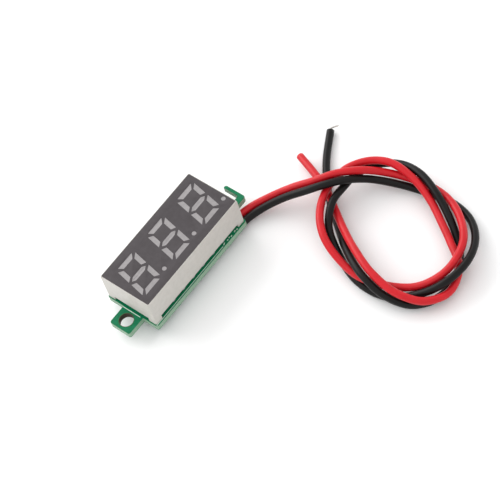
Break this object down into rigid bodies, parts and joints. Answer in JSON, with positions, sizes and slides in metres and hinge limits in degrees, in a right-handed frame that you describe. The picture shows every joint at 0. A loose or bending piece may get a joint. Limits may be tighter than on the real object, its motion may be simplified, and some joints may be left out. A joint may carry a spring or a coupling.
{
  "type": "digital panel meter",
  "caption": "Small two-wire panel voltmeter: three-digit LED display on a green board with screw ears, red and black leads lying in a loose coil.",
  "frame": {"origin": "on the surface that the meter lies on, under the middle of the circuit board", "axes": "+X along the digits' reading direction, +Y the digits' up, +Z out of the display's face"},
  "size_m": [0.0501, 0.046, 0.009],
  "materials": {
    "green_board": "solder mask on glass-fibre board",
    "housing_plastic": "moulded, faintly warm grey-white",
    "mask_ink": "matt dark grey film",
    "light_guide": "milky epoxy",
    "led_crystal": "polished",
    "carrier_board": "bare laminate",
    "sealing_resin": "cast resin",
    "plated_pin": "tin plated",
    "solder": "shiny solder",
    "chip_black": "moulded epoxy",
    "tan_ceramic": "fired ceramic",
    "resistor_black": "glazed",
    "white_ceramic": "fired ceramic",
    "trimmer_brass": "plated brass",
    "copper_strand": "tinned copper strands",
    "tinned_strand": "tinned strands",
    "red_insulation": "smooth soft PVC",
    "black_insulation": "smooth soft PVC"
  },
  "bodies": {
    "meter": {"circuit_board": "green_board", "display_housing": "housing_plastic", "face_mask": "mask_ink", "left_digit": "light_guide", "middle_digit": "light_guide", "right_digit": "light_guide", "led_dice": "led_crystal", "led_carrier": "carrier_board", "back_resin": "sealing_resin", "display_pins": "plated_pin", "pin_solder": "solder", "controller_chip": "chip_black", "controller_legs": "plated_pin", "regulator_body": "chip_black", "regulator_legs": "plated_pin", "diode_body": "chip_black", "diode_legs": "plated_pin", "capacitor_bodies": "tan_ceramic", "capacitor_ends": "plated_pin", "resistor_bodies": "resistor_black", "resistor_ends": "plated_pin", "trimmer_base": "white_ceramic", "trimmer_terminals": "plated_pin", "red_core": "copper_strand", "black_core": "copper_strand", "red_joint": "solder", "black_joint": "solder", "red_lead": "red_insulation", "black_lead": "black_insulation", "black_lead_tip": "tinned_strand"},
    "adjuster": {"trimmer_rotor": "trimmer_brass"}
  },
  "joints": [
    {"name": "trimmer_turn", "type": "hinge", "parent": "meter", "child": "adjuster", "pos_m": [-0.0072, 0.0001, 0.0012], "axis": [0, 0, 1], "range_deg": [-120, 120]}
  ]
}
